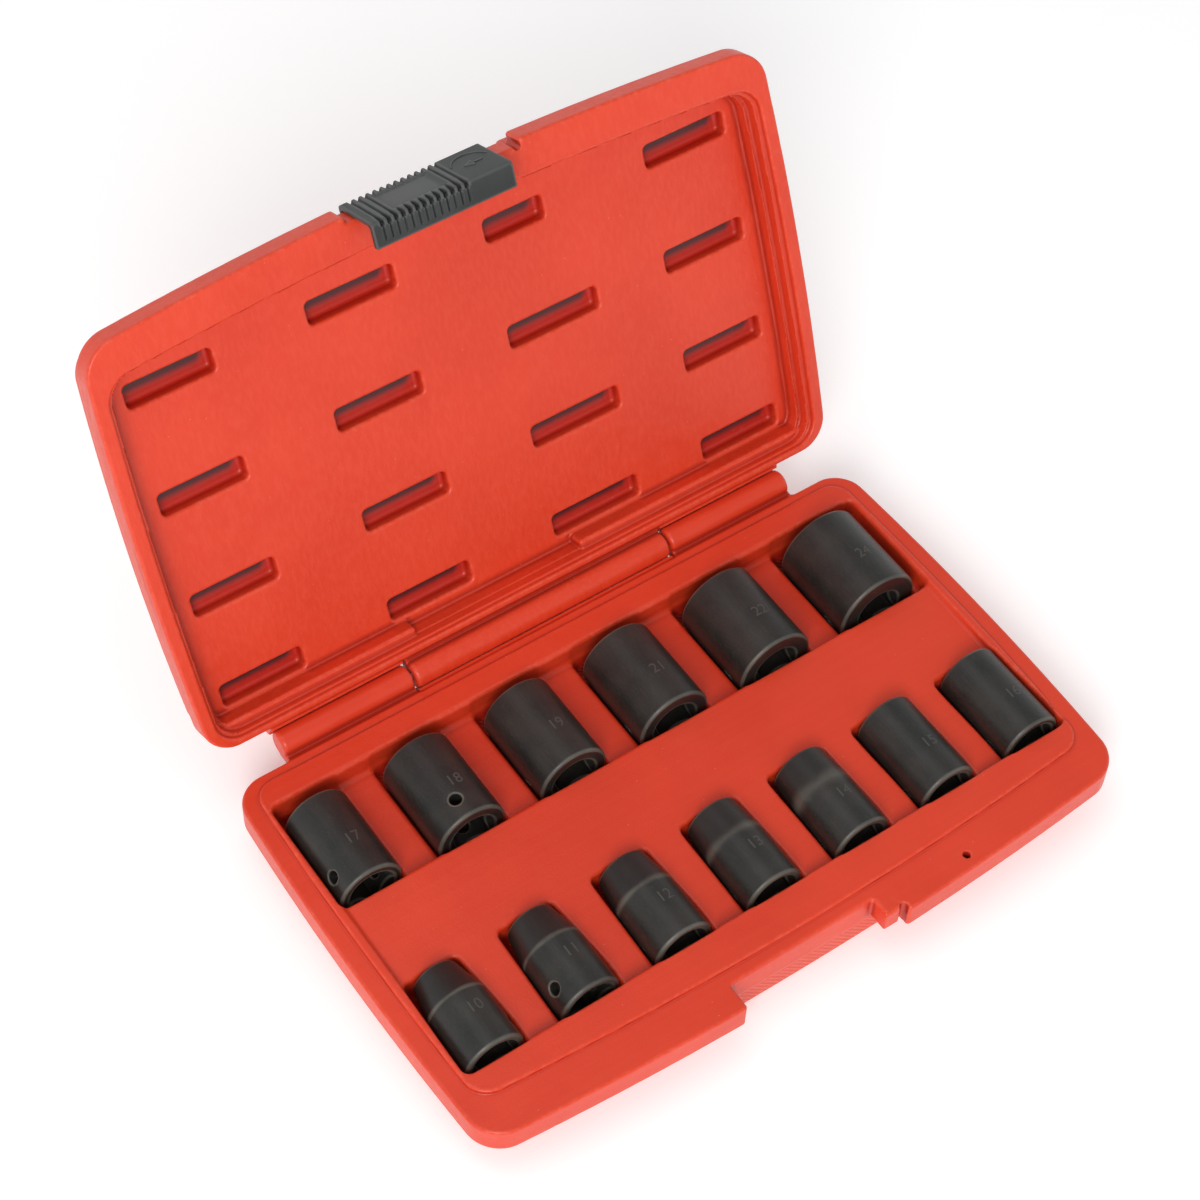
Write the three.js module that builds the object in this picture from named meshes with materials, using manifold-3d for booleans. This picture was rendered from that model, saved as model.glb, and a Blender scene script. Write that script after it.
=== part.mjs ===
// Impact socket set in a double-walled carrying case, standing open.
// Millimetres. The origin is the centre of the case's underside: +X runs to the right
// along the hinge, +Y towards the hinge and +Z up.
import * as THREE from "three";
import { mergeVertices } from "three/addons/utils/BufferGeometryUtils.js";
import Module from "manifold-3d";

const wasm = await Module();
wasm.setup();

// Case outline. Its front edge and sides bow outwards; the hinge edge is straight.
const HALF_WIDTH = 138;
const FRONT_Y = -85.5;
const BACK_Y = 85.5;
const SIDE_BOW = 2;
const FRONT_BOW = 5.6;
const CORNER = 12;
const WALL = 2; // thickness of each skin

// Heights. Base and lid meet at SEAM_Z.
const SEAM_Z = 24;
const SEAM_GAP = 0.25;
const BASE_FLANGE = 12;
const LID_FLANGE = 10.5;
const LID_DEPTH = 20;
const CLASP_FLANGE = 9.5; // flange height where the latch grips

// Set-back of the lower body behind the flange.
const BASE_SIDE_STEP = 3;
const BASE_FRONT_STEP = 11.1;
const LID_SIDE_STEP = 1.8;
const LID_FRONT_STEP = 6;

// Tray: a raised border, a trough for the large sockets, a plateau and a front row.
const BORDER_RISE = 1.6;
const BORDER = { halfWidth: 131.2, front: -69.6, back: 81.3, sideBow: 1.4, frontBow: 5, corner: 7 };
const PLATEAU_RISE = 1;
const TRAY_HALF_WIDTH = 127.5;
const TROUGH = { front: 23.2, back: 71.2, depth: 7 };
const FRONT_POCKETS = { front: -54.2, back: -12.7, depth: 4 };
const RAMP_END = -4.7; // the plateau starts here, behind the front row
const AXIS_DEPTH = 4.5; // socket axes lie this far below the seam

// Sockets: square drive at the -Y end, hexagon at the +Y end.
const SOCKET_LENGTH = 38;
const DRIVE_SQUARE = 12.9;
const DRIVE_DEPTH = 16;
const DRIVE_MOUTH = { radius: 10.35, innerRadius: 6.25, depth: 2.8 };
const HEX_CLEARANCE = 0.2;
const HEX_LEAD = 0.9; // bevel at the hexagon's mouth
const FACE_BEVEL = 0.9;
const NOSE_LENGTH = 14.5; // tapered nose of the small sizes
const PIN_HOLE_RADIUS = 2.3;
const PIN_HOLE_Y = 8.3;
const POCKET_CLEARANCE = 0.8;
const BED_DROP = 0.5; // the bed's axis lies this much above the socket's
const HIDDEN_TURN = 17; // pin hole turned down into the pocket, degrees
const FRONT_ROW = { face: -52.2, pitch: 38.5, firstX: -114.8 };
const BACK_ROW = { face: 25.9, gap: 15.1 };
const FRONT_SOCKETS = [
  { size: 10, outer: 23.4, nose: 17.4 },
  { size: 11, outer: 23.6, nose: 18.6, turn: 146 },
  { size: 12, outer: 23.4, nose: 19.8 },
  { size: 13, outer: 23.4, nose: 21 },
  { size: 14, outer: 23.6, nose: 22 },
  { size: 15, outer: 23.6 },
  { size: 16, outer: 24.2 },
];
const BACK_SOCKETS = [
  { size: 17, outer: 25, turn: 148 },
  { size: 18, outer: 27.6, turn: 98 },
  { size: 19, outer: 28 },
  { size: 21, outer: 29.6 },
  { size: 22, outer: 31.2 },
  { size: 24, outer: 33.8 },
];

// Hinge along X, level with the seam behind the case.
const HINGE_Y = 92.9;
const HINGE_RADIUS = 5.3;
const KNUCKLE_BEVEL = { start: 1.6, end: 0.5 };
const CRADLE = { radius: 5.7, reach: 9, end: 2, gap: 0.4 }; // the lid's lips behind the base's knuckles
const LID_OPEN = THREE.MathUtils.degToRad(112.2);
const LID_KNUCKLE_HALF = 56;
const BASE_KNUCKLE = { inner: 57, outer: 111.5 };
const PIN = { radius: 1.5, clearance: 0.12, length: 24 };

// Latch: a channel that grips the lid's flange and slides along it.
const CLASP = { left: -35, right: 34, tabLeft: 25.5, tabFront: -82.4, wallY: -74.4 };
const LATCH = { left: -31.6, right: 24, web: 1.6, leg: 2, gap: 0.3 };
const RETAINING_LIP = { width: 1.4, height: 1.2, groove: 2 };
const RIB = { pitch: 2.75, count: 13, last: 5.6, depth: 0.8, half: 0.8, reach: 7 };
const WHOLE_RIBS = { first: 3, last: 2 }; // ribs that run right across at either end of the grip
const DETENT = { radius: 1.3, inset: 0.8 };

// Lid inside: a stepped recess whose floor has four rows of four slots.
const RECESS = { halfWidth: 132.5, front: -70.8, back: 82.7, depth: 13, ledge: 4, step: 1.2 };
const LEDGE = { front: 78.6, rise: 5.6 };
const LEDGE_SPANS = [
  [-135, -47],
  [25, 135],
];
const SLOT = { width: 8.4, depth: 5.2, corner: 2.5 };
const SLOT_ROWS = [-50.7, -8, 33.8, 72.6];
const SLOT_COLUMNS = [
  { left: -121.7, right: -88.3 },
  { left: -52, right: -17 },
  { left: 19.8, right: 58 },
  { left: 88, right: 122.6 },
];
const SHORT_SLOT_RIGHT = 44.3; // the third slot of the front row stops short
const NEEDLE = { radius: 1.4, baseX: 64.2, baseY: -78.2, lidX: -4, reach: 4 };

// Cutting solids end this far outside the case.
const FAR_FRONT = -100;
const FAR_UP = 60;

const RED = { color: 0xdc452f, roughness: 0.42, metalness: 0 };
const BLACK_OXIDE = { color: 0x35332f, roughness: 0.45, metalness: 0.6 };
const DARK_PLASTIC = { color: 0x3c403e, roughness: 0.5, metalness: 0 };
const STEEL = { color: 0xb4b6b8, roughness: 0.3, metalness: 1 };

// A three.js geometry as a solid for joining and cutting.
function solid(geometry) {
  const bare = geometry.index ? geometry.toNonIndexed() : geometry.clone();
  bare.deleteAttribute("normal");
  bare.deleteAttribute("uv");
  const merged = mergeVertices(bare, 1e-4);
  const vertProperties = new Float32Array(merged.attributes.position.array);
  const triVerts = new Uint32Array(merged.index.array);
  return new wasm.Manifold(new wasm.Mesh({ numProp: 3, vertProperties, triVerts }));
}

function mesh(name, body, finish) {
  const source = body.getMesh();
  const geometry = new THREE.BufferGeometry();
  geometry.setAttribute("position", new THREE.BufferAttribute(source.vertProperties, 3));
  geometry.setIndex(new THREE.BufferAttribute(source.triVerts, 1));
  geometry.computeVertexNormals();
  const made = new THREE.Mesh(geometry, new THREE.MeshStandardMaterial(finish));
  made.name = name;
  return made;
}

function block([x0, x1], [y0, y1], [z0, z1]) {
  const box = new THREE.BoxGeometry(x1 - x0, y1 - y0, z1 - z0);
  return solid(box.translate((x0 + x1) / 2, (y0 + y1) / 2, (z0 + z1) / 2));
}

// A vertical prism of an outline, with both its rims bevelled inside the outline.
function prism(shape, low, high, bevel = 0, curveSegments = 4) {
  const geometry = new THREE.ExtrudeGeometry(shape, {
    depth: high - low - 2 * bevel,
    bevelEnabled: bevel > 0,
    bevelThickness: bevel,
    bevelSize: bevel,
    bevelOffset: -bevel,
    bevelSegments: 1,
    curveSegments,
  });
  return solid(geometry.translate(0, 0, low + bevel));
}

// A prism of an outline drawn in the YZ plane, from x0 to x1.
function crossPrism(points, x0, x1) {
  const shape = new THREE.Shape(points.map(([y, z]) => new THREE.Vector2(y, z)));
  const geometry = new THREE.ExtrudeGeometry(shape, { depth: x1 - x0, bevelEnabled: false });
  const toYZ = new THREE.Matrix4().makeBasis(
    new THREE.Vector3(0, 1, 0),
    new THREE.Vector3(0, 0, 1),
    new THREE.Vector3(1, 0, 0),
  );
  return solid(geometry.applyMatrix4(toYZ).translate(x0, 0, 0));
}

// A body turned about +Y from [radius, y] points that start and end on the axis.
function turned(points, segments = 20) {
  const profile = points.map(([radius, y]) => new THREE.Vector2(radius, y));
  return solid(new THREE.LatheGeometry(profile, segments));
}

function cylinder(radius, low, high, segments = 16) {
  return turned([[0, low], [radius, low], [radius, high], [0, high]], segments);
}

function alongX(body) {
  return body.rotate([0, 0, -90]);
}

function alongZ(body) {
  return body.rotate([90, 0, 0]);
}

// The case outline: bowed front and sides, a straight hinge edge and round corners.
function caseOutline({
  halfWidth = HALF_WIDTH,
  front = FRONT_Y,
  back = BACK_Y,
  sideBow = SIDE_BOW,
  frontBow = FRONT_BOW,
  corner = CORNER,
  inset = 0,
}) {
  const wide = halfWidth - inset;
  const narrow = wide - sideBow;
  const middle = front + inset;
  const frontEnd = middle + frontBow;
  const rear = back - inset;
  const halfway = (frontEnd + rear) / 2;
  const round = Math.max(corner - inset, 3);
  const bowX = 2 * wide - narrow;
  const shape = new THREE.Shape();
  shape.moveTo(-narrow + round, frontEnd);
  shape.quadraticCurveTo(0, middle - frontBow, narrow - round, frontEnd);
  shape.quadraticCurveTo(narrow, frontEnd, narrow, frontEnd + round);
  shape.quadraticCurveTo(bowX, halfway, narrow, rear - round);
  shape.quadraticCurveTo(narrow, rear, narrow - round, rear);
  shape.lineTo(-narrow + round, rear);
  shape.quadraticCurveTo(-narrow, rear, -narrow, rear - round);
  shape.quadraticCurveTo(-bowX, halfway, -narrow, frontEnd + round);
  shape.quadraticCurveTo(-narrow, frontEnd, -narrow + round, frontEnd);
  return shape;
}

function roundedRectangle(left, right, front, back, corner) {
  const shape = new THREE.Shape();
  shape.moveTo(left + corner, front);
  shape.lineTo(right - corner, front);
  shape.quadraticCurveTo(right, front, right, front + corner);
  shape.lineTo(right, back - corner);
  shape.quadraticCurveTo(right, back, right - corner, back);
  shape.lineTo(left + corner, back);
  shape.quadraticCurveTo(left, back, left, back - corner);
  shape.lineTo(left, front + corner);
  shape.quadraticCurveTo(left, front, left + corner, front);
  return shape;
}

// Where each socket lies: the front row at an even pitch, the back row with even gaps.
function layOut() {
  const front = FRONT_SOCKETS.map((socket, i) => ({
    ...socket,
    x: FRONT_ROW.firstX + FRONT_ROW.pitch * i,
    face: FRONT_ROW.face,
    pocket: FRONT_POCKETS,
  }));
  let edge = -TRAY_HALF_WIDTH + POCKET_CLEARANCE;
  const back = BACK_SOCKETS.map((socket) => {
    const x = edge + socket.outer / 2;
    edge += socket.outer + BACK_ROW.gap;
    return { ...socket, x, face: BACK_ROW.face, pocket: TROUGH };
  });
  return [...front, ...back];
}

// Outer profile from the drive face to the hexagon end, with its edges broken.
function socketProfile({ outer, nose = outer }) {
  const radius = outer / 2;
  const noseRadius = nose / 2;
  const tapered = noseRadius < radius;
  const shoulder = tapered ? [[radius, SOCKET_LENGTH - NOSE_LENGTH]] : [];
  return [
    [0, 0],
    [radius - FACE_BEVEL, 0],
    [radius, FACE_BEVEL],
    ...shoulder,
    [noseRadius, SOCKET_LENGTH - 1.4],
    [noseRadius - 0.4, SOCKET_LENGTH - 0.5],
    [noseRadius - 1.3, SOCKET_LENGTH],
    [0, SOCKET_LENGTH],
  ];
}

function makeSocket(socket) {
  const { size, x, face, turn = HIDDEN_TURN } = socket;
  const half = DRIVE_SQUARE / 2;
  const hexRadius = (size + HEX_CLEARANCE) / Math.sqrt(3);
  const past = 0.5;
  const square = block([-half, half], [-past, DRIVE_DEPTH], [-half, half]);
  const mouth = turned([
    [0, -past],
    [DRIVE_MOUTH.radius, -past],
    [DRIVE_MOUTH.innerRadius, DRIVE_MOUTH.depth],
    [0, DRIVE_MOUTH.depth],
  ]);
  const hexagon = cylinder(hexRadius, DRIVE_DEPTH - 0.1, SOCKET_LENGTH + past, 6);
  const lead = turned([
    [0, SOCKET_LENGTH - HEX_LEAD],
    [hexRadius - HEX_LEAD, SOCKET_LENGTH - HEX_LEAD],
    [hexRadius + past, SOCKET_LENGTH + past],
    [0, SOCKET_LENGTH + past],
  ]);
  const pinHole = alongX(cylinder(PIN_HOLE_RADIUS, -socket.outer, socket.outer, 12));
  const body = turned(socketProfile(socket))
    .subtract(square)
    .subtract(mouth)
    .subtract(hexagon)
    .subtract(lead)
    .subtract(pinHole.translate([0, PIN_HOLE_Y, 0]));
  const made = mesh("socket_" + size + "mm", body, BLACK_OXIDE);
  made.rotation.y = -THREE.MathUtils.degToRad(turn);
  made.position.set(x, face, SEAM_Z - AXIS_DEPTH);
  return made;
}

// The pocket that a socket lies in: its own outline, open upwards.
function pocket({ outer, nose = outer, x, face, pocket: place }, grow) {
  const spare = POCKET_CLEARANCE + grow;
  const radius = outer / 2 + spare;
  const noseRadius = nose / 2 + spare;
  const low = place.front - grow;
  const high = place.back + grow;
  const shoulder = nose < outer ? [[radius, face + SOCKET_LENGTH - NOSE_LENGTH]] : [];
  const side = [[radius, low], ...shoulder, [noseRadius, high]];
  const axisZ = SEAM_Z - AXIS_DEPTH + BED_DROP;
  const bed = turned([[0, low], ...side, [0, high]]);
  const mirrored = side.map(([r, y]) => [-r, y]).reverse();
  const plan = new THREE.Shape([...side, ...mirrored].map(([r, y]) => new THREE.Vector2(r, y)));
  const shaft = prism(plan, axisZ, SEAM_Z + 6);
  return bed.translate([0, 0, axisZ]).add(shaft).translate([x, 0, 0]);
}

// All that is hollowed out of the base from above. grow widens it for the inner skin.
function tray(grow = 0) {
  const open = SEAM_Z + 5;
  const width = [-TRAY_HALF_WIDTH - grow, TRAY_HALF_WIDTH + grow];
  const trough = block(
    width,
    [TROUGH.front - grow, TROUGH.back + grow],
    [SEAM_Z - TROUGH.depth - grow, open],
  );
  const plateau = block(
    width,
    [FRONT_POCKETS.front - grow, TROUGH.front + 1],
    [SEAM_Z + PLATEAU_RISE - grow, open],
  );
  const ramp = crossPrism(
    [
      [FRONT_POCKETS.front - grow, SEAM_Z - FRONT_POCKETS.depth - grow],
      [RAMP_END, SEAM_Z + PLATEAU_RISE - grow],
      [RAMP_END, open],
      [FRONT_POCKETS.front - grow, open],
    ],
    ...width,
  );
  let cut = trough.add(plateau).add(ramp);
  for (const socket of layOut()) cut = cut.add(pocket(socket, grow));
  return cut;
}

// The gap in the base's flange that the latch drops through, and the tab it hooks under.
function claspNotch(grow = 0) {
  const wall = [FAR_FRONT, CLASP.wallY + grow];
  const gap = block([CLASP.left - grow, CLASP.tabLeft + grow], wall, [-1, SEAM_Z + 1]);
  const tab = [CLASP.tabLeft - 1, CLASP.right + grow];
  const under = block(tab, wall, [-1, SEAM_Z - CLASP_FLANGE + grow]);
  const ahead = block(tab, [FAR_FRONT, CLASP.tabFront + grow], [-1, SEAM_Z + 1]);
  return gap.add(under).add(ahead);
}

// A half-round groove at the tab's end, where the latch's bead clicks in.
function detent(low, high) {
  const groove = alongZ(cylinder(DETENT.radius, low, high, 12));
  return groove.translate([CLASP.right - DETENT.inset, CLASP.tabFront, 0]);
}

function knuckle(left, right) {
  const { start, end } = KNUCKLE_BEVEL;
  const bar = turned([
    [0, left],
    [HINGE_RADIUS - start, left],
    [HINGE_RADIUS - end, left + end],
    [HINGE_RADIUS, left + start],
    [HINGE_RADIUS, right - start],
    [HINGE_RADIUS - end, right - end],
    [HINGE_RADIUS - start, right],
    [0, right],
  ]);
  return alongX(bar).translate([0, HINGE_Y, SEAM_Z]);
}

// The lid's lip that follows a knuckle of the base between left and right.
function cradle(left, right) {
  const heights = [SEAM_Z + SEAM_GAP, SEAM_Z + CRADLE.reach];
  const lip = block([left, right], [BACK_Y - 3, HINGE_Y - CRADLE.end], heights);
  const space = alongX(cylinder(CRADLE.radius, left - 1, right + 1, 32));
  return lip.subtract(space.translate([0, HINGE_Y, SEAM_Z]));
}

// The bores for both hinge pins; the running fit is all round each pin.
function pinBores() {
  const reach = PIN.length / 2 + 0.8;
  const middle = (LID_KNUCKLE_HALF + BASE_KNUCKLE.inner) / 2;
  const bore = alongX(cylinder(PIN.radius + PIN.clearance, -reach, reach));
  const left = bore.translate([-middle, HINGE_Y, SEAM_Z]);
  return left.add(bore.translate([middle, HINGE_Y, SEAM_Z]));
}

function makePin(name, side) {
  const middle = (side * (LID_KNUCKLE_HALF + BASE_KNUCKLE.inner)) / 2;
  const half = PIN.length / 2;
  const body = turned(
    [
      [0, -half],
      [PIN.radius - 0.3, -half],
      [PIN.radius, 0.3 - half],
      [PIN.radius, half - 0.3],
      [PIN.radius - 0.3, half],
      [0, half],
    ],
    16,
  );
  return mesh(name, alongX(body).translate([middle, HINGE_Y, SEAM_Z]), STEEL);
}

function baseBody(inset) {
  const flange = prism(
    caseOutline({ inset }),
    SEAM_Z - BASE_FLANGE + inset,
    SEAM_Z - inset,
    inset ? 0 : 0.8,
  );
  const lower = prism(
    caseOutline({
      halfWidth: HALF_WIDTH - BASE_SIDE_STEP,
      front: FRONT_Y + BASE_FRONT_STEP,
      back: BACK_Y - BASE_SIDE_STEP,
      frontBow: FRONT_BOW - 0.6,
      inset,
    }),
    inset,
    SEAM_Z - BASE_FLANGE + 4,
    inset ? 0 : 1.6,
  );
  return flange.add(lower);
}

function makeBase() {
  const border = prism(caseOutline(BORDER), SEAM_Z - 3, SEAM_Z + BORDER_RISE, 0.5);
  let body = baseBody(0).add(border);
  for (const side of [-1, 1]) {
    const ends = [side * BASE_KNUCKLE.inner, side * BASE_KNUCKLE.outer].sort((a, b) => a - b);
    const web = block(ends, [BACK_Y - 3, HINGE_Y], [SEAM_Z - HINGE_RADIUS, SEAM_Z]);
    body = body.add(knuckle(...ends)).add(web);
  }
  const cavity = baseBody(WALL).subtract(tray(WALL)).subtract(claspNotch(WALL));
  const needle = alongZ(cylinder(NEEDLE.radius, -NEEDLE.reach, NEEDLE.reach, 16));
  body = body
    .subtract(cavity)
    .subtract(needle.translate([NEEDLE.baseX, NEEDLE.baseY, SEAM_Z]))
    .subtract(tray())
    .subtract(claspNotch())
    .subtract(detent(-SEAM_Z - 1, 1 - SEAM_Z + CLASP_FLANGE))
    .subtract(pinBores());
  return mesh("case_base", body, RED);
}

// The lid's outside, or its hollow when inset: the sides and the hinge edge stay thick.
function lidBody(inset) {
  const halfWidth = inset ? RECESS.halfWidth + 3 : HALF_WIDTH;
  const back = inset ? BACK_Y - 2 * WALL : BACK_Y;
  const flange = prism(
    caseOutline({ halfWidth, back, inset }),
    SEAM_Z + SEAM_GAP + inset,
    SEAM_Z + LID_FLANGE - inset,
    inset ? 0 : 0.8,
  );
  const upper = prism(
    caseOutline({
      halfWidth: halfWidth - LID_SIDE_STEP,
      front: FRONT_Y + LID_FRONT_STEP,
      back: BACK_Y - LID_SIDE_STEP,
      inset,
    }),
    SEAM_Z + 4,
    SEAM_Z + LID_DEPTH - inset,
    inset ? 0 : 2,
  );
  return flange.add(upper);
}

function lidRecess(grow = 0) {
  const floor = SEAM_Z + RECESS.depth + grow;
  const outline = (inset) =>
    caseOutline({ ...RECESS, sideBow: 1.4, frontBow: 5, corner: 8 + grow, inset: inset - grow });
  const mouth = prism(outline(0), SEAM_Z - 1, SEAM_Z + RECESS.ledge);
  let cut = mouth.add(prism(outline(RECESS.step), SEAM_Z - 1, floor));
  if (!grow) {
    for (const span of LEDGE_SPANS) {
      const ledge = block(span, [LEDGE.front, BACK_Y], [SEAM_Z + LEDGE.rise, FAR_UP]);
      cut = cut.subtract(ledge);
    }
  }
  const slotTop = SEAM_Z + RECESS.depth + SLOT.depth + grow;
  SLOT_ROWS.forEach((y, row) =>
    SLOT_COLUMNS.forEach((column, i) => {
      const right = row === 0 && i === 2 ? SHORT_SLOT_RIGHT : column.right;
      const half = SLOT.width / 2 + grow;
      const corner = SLOT.corner + grow;
      const shape = roundedRectangle(column.left - grow, right + grow, y - half, y + half, corner);
      cut = cut.add(prism(shape, floor - 1, slotTop, 0, 2));
    }),
  );
  return cut;
}

// The step in the lid's front that the latch runs in, with its retaining groove.
function latchRun(grow = 0) {
  const ends = [CLASP.left - grow, CLASP.right + grow];
  const top = SEAM_Z + CLASP_FLANGE - grow;
  const ahead = block(ends, [FAR_FRONT, CLASP.tabFront + grow], [SEAM_Z - 1, FAR_UP]);
  const above = block(ends, [FAR_FRONT, CLASP.wallY + grow], [top, FAR_UP]);
  const groove = block(
    ends,
    [CLASP.wallY - RETAINING_LIP.groove, CLASP.wallY],
    [top - RETAINING_LIP.height, FAR_UP],
  );
  return ahead.add(above).add(groove);
}

function makeLid() {
  const web = block(
    [-LID_KNUCKLE_HALF, LID_KNUCKLE_HALF],
    [BACK_Y - 2.5, HINGE_Y],
    [SEAM_Z + SEAM_GAP, SEAM_Z + HINGE_RADIUS],
  );
  const cavity = lidBody(WALL).subtract(lidRecess(WALL)).subtract(latchRun(WALL));
  const needle = cylinder(NEEDLE.radius, CLASP.tabFront - 1, CLASP.tabFront + NEEDLE.reach, 16);
  const inner = BASE_KNUCKLE.inner - CRADLE.gap;
  const outer = BASE_KNUCKLE.outer + CRADLE.gap;
  const body = lidBody(0)
    .add(knuckle(-LID_KNUCKLE_HALF, LID_KNUCKLE_HALF))
    .add(web)
    .add(cradle(-outer, -inner))
    .add(cradle(inner, outer))
    .subtract(cavity)
    .subtract(needle.translate([NEEDLE.lidX, 0, SEAM_Z + CLASP_FLANGE / 2]))
    .subtract(lidRecess())
    .subtract(latchRun())
    .subtract(detent(-SEAM_Z - LID_DEPTH, -SEAM_Z))
    .subtract(pinBores());
  return mesh("case_lid", body, RED);
}

// A channel over the flanges of lid and base. A lip on the lid's side holds it there.
function makeLatch() {
  const front = CLASP.tabFront - LATCH.gap - LATCH.web;
  const inner = CLASP.tabFront - LATCH.gap;
  const tip = CLASP.wallY - LATCH.gap;
  const low = CLASP_FLANGE + LATCH.gap;
  const outer = low + LATCH.leg;
  const lip = low - RETAINING_LIP.height;
  const lipFront = tip - RETAINING_LIP.width;
  const section = [
    [front + 0.8, -outer],
    [tip, -outer],
    [tip, -low],
    [inner, -low],
    [inner, low],
    [lipFront, low],
    [lipFront, lip],
    [tip, lip],
    [tip, outer],
    [front + 0.8, outer],
    [front, outer - 0.8],
    [front, 0.8 - outer],
  ].map(([y, z]) => [y, z + SEAM_Z]);
  const channel = crossPrism(section, LATCH.left, LATCH.right);
  return mesh("latch", channel.subtract(ribGrooves(front, outer)), DARK_PLASTIC);
}

// V grooves of the latch's grip: right across at its ends, only along the edges between.
function ribGrooves(front, outer) {
  const reach = outer + 1;
  const grooves = [];
  for (let i = 0; i < RIB.count; i += 1) {
    const x = RIB.last - (RIB.count - 1 - i) * RIB.pitch;
    const notch = new THREE.Shape([
      new THREE.Vector2(x - RIB.half, front - 0.1),
      new THREE.Vector2(x + RIB.half, front - 0.1),
      new THREE.Vector2(x, front + RIB.depth),
    ]);
    const whole = i < WHOLE_RIBS.first || i >= RIB.count - WHOLE_RIBS.last;
    const spans = whole ? [[-reach, reach]] : [[-reach, -RIB.reach], [RIB.reach, reach]];
    for (const [low, high] of spans) grooves.push(prism(notch, SEAM_Z + low, SEAM_Z + high));
  }
  return grooves.reduce((all, one) => all.add(one));
}

// Lid and latch are drawn shut, then swung open about the hinge.
function openLid(...pieces) {
  const swing = new THREE.Group();
  swing.position.set(0, HINGE_Y, SEAM_Z);
  swing.rotation.x = -LID_OPEN;
  for (const piece of pieces) {
    piece.position.set(0, -HINGE_Y, -SEAM_Z);
    swing.add(piece);
  }
  return swing;
}

const group = new THREE.Group();
group.add(makeBase());
group.add(openLid(makeLid(), makeLatch()));
group.add(makePin("hinge_pin_left", -1), makePin("hinge_pin_right", 1));
for (const socket of layOut()) group.add(makeSocket(socket));

export default group;
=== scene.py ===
"""Looks for the socket set in its carrying case: fine pieces, materials, stage and camera.

Shapes are drawn as signed distances in millimetres, in the CAD frame with the lid shut:
below zero is inside. Each becomes a mesh, in metres, that replaces its CAD node.
"""

import math

import bmesh
import bpy
import numpy as np
from mathutils import Matrix, Vector


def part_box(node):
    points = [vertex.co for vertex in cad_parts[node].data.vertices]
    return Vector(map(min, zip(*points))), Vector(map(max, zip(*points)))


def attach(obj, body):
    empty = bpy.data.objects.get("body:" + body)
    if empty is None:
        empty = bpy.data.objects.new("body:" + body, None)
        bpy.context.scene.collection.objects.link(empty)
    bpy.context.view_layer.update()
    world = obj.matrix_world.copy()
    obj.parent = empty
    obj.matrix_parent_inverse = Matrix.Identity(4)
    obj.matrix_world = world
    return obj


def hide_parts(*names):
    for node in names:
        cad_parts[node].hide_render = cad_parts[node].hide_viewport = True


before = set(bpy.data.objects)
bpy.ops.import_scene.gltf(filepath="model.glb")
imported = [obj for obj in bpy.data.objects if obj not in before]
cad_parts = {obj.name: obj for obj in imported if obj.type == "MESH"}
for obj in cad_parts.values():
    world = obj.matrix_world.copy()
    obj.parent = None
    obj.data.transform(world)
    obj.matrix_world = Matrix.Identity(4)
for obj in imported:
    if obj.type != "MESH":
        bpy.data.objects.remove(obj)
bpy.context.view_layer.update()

MM = 0.001
SEAM = 24.0  # height of the plane where base and lid meet
LID_GAP = 0.25  # between the two flanges when the lid is shut
HINGE_Y = 92.9
LID_OPEN = math.radians(112.2)
LID_PIVOT = Vector((0, HINGE_Y, SEAM))
OVERLAP = 4.0  # how far the base's and lid's bodies reach into their flanges

OUTLINE = dict(half=138.0, front=-85.2, back=85.5, side_bow=2.0, front_bow=5.6, corner=11.5)
BASE_LOWER = dict(half=135.0, front=-74.4, back=82.6, side_bow=2.0, front_bow=5.0, corner=11.0)
LID_UPPER = dict(half=136.4, front=-79.4, back=83.9, side_bow=2.0, front_bow=5.4, corner=11.0)
BORDER = dict(half=131.2, front=-69.6, back=81.2, side_bow=1.4, front_bow=5.0, corner=8.0)
LID_MOUTH = dict(half=132.5, front=-70.8, back=82.7, side_bow=1.4, front_bow=5.0, corner=9.0)
TRAY_HALF = 127.5
TROUGH = (23.2, 70.6)
FRONT_ROW = (-54.2, -12.7)
CLASP = dict(left=-35.0, right=34.0, tab=25.5, tab_front=-82.4, wall=-74.4, height=9.5)
SOCKET_LENGTH = 38.0
SOCKET_AXIS = SEAM - 4.5

KNUCKLE_RADIUS = 5.3
KNUCKLE_CLEAR = 0.4  # between a knuckle and the lip behind it
KNUCKLE_ROUND = 1.6  # at a knuckle's ends
BASE_KNUCKLES = ((-111.5, -57.0), (57.0, 111.5))
LID_KNUCKLE = (-56.0, 56.0)
BACK_WEB = OUTLINE["back"] - 3  # where the hinge's webs and lips start, inside the wall
WEB_DROP = 1.0  # how far they stay short of the seam, so that their fillets don't cross it
LIP_TALL = 9.0  # from the seam to a lip's far end
LIP_SHORT = 2.0  # from a lip's back end to the hinge's axis

# ---------------------------------------------------------------- signed distances


def common(a, b, r=0.0):
    """Where both solids are, with the edge between them rounded to radius r."""
    u = np.maximum(a + r, 0)
    v = np.maximum(b + r, 0)
    return np.minimum(-r, np.maximum(a, b)) + np.sqrt(u * u + v * v)


def joined(a, b, r=0.0):
    """Both solids together, with a fillet of radius r in the corner between them."""
    return -common(-a, -b, r)


def cut(a, b, r=0.0):
    """Solid a without solid b, with the cut's rim rounded."""
    return common(a, -b, r)


def between(v, low, high):
    return np.abs(v - (low + high) / 2) - (high - low) / 2


def ramp(v, start, end):
    """0 before start, 1 after end, and smooth between them."""
    t = np.clip((v - start) / (end - start), 0, 1)
    return t * t * (3 - 2 * t)


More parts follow.
